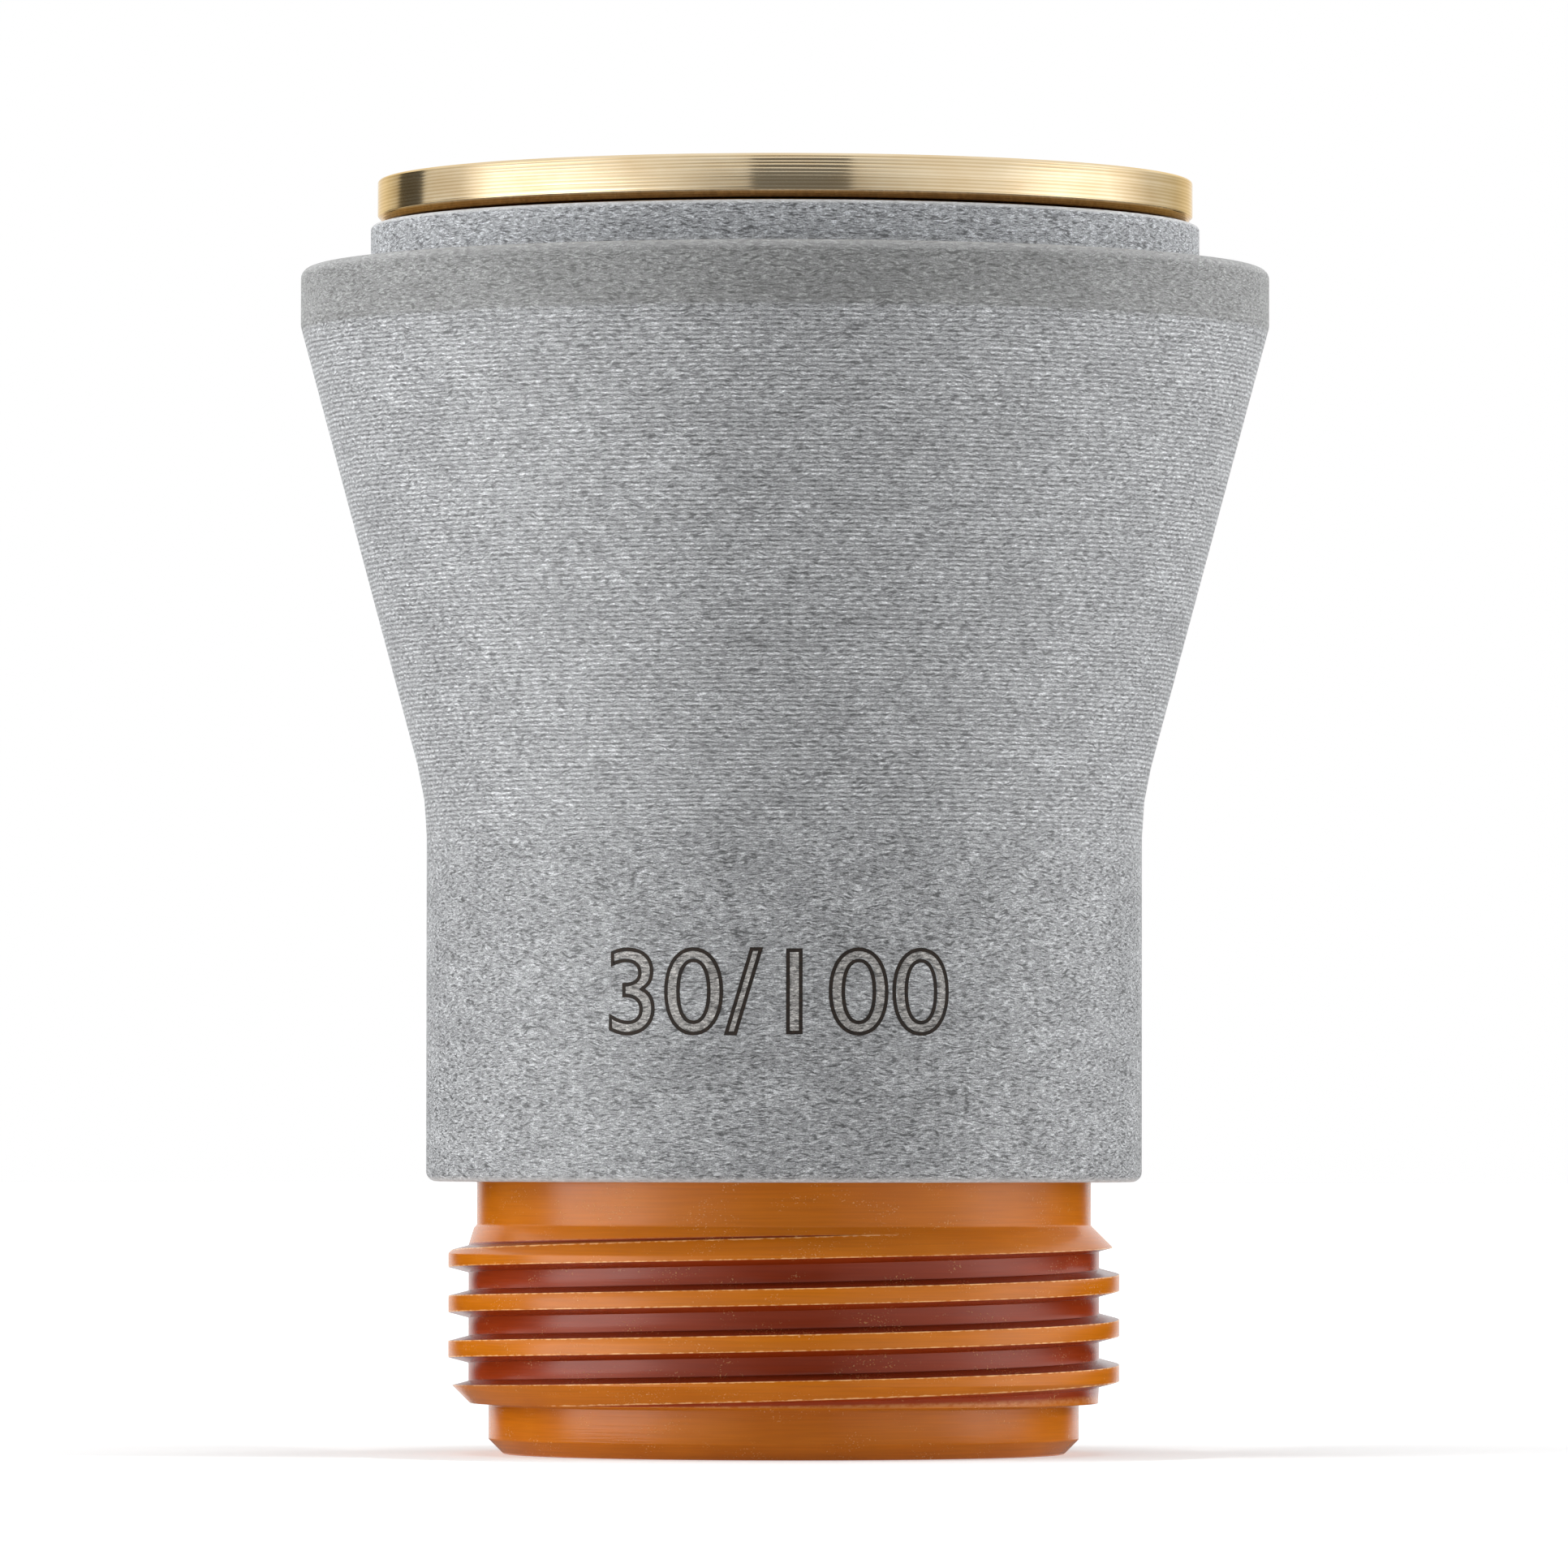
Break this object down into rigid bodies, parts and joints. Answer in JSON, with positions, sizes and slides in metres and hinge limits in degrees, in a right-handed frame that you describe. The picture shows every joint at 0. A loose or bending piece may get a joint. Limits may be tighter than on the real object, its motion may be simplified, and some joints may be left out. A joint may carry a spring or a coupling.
{
  "type": "plasma torch retaining cap",
  "caption": "Flared composite sleeve with a brass liner that screws onto a plasma torch, holds the nozzle on an inner seat and takes the shield on an orange threaded end.",
  "frame": {"origin": "centre of the insulator's tip face, at the bottom of the standing cap", "axes": "+Z along the cap's axis, from the shield end to the torch end"},
  "size_m": [0.0342, 0.0342, 0.0448],
  "materials": {
    "shell_composite": "matte grey short-fibre composite, turned",
    "liner_brass": "bright turned brass",
    "insulator_polymer": "satin orange high-temperature polymer, turned"
  },
  "bodies": {
    "root": {"outer_shell": "shell_composite", "threaded_liner": "liner_brass", "shield_thread_insulator": "insulator_polymer"}
  },
  "joints": []
}
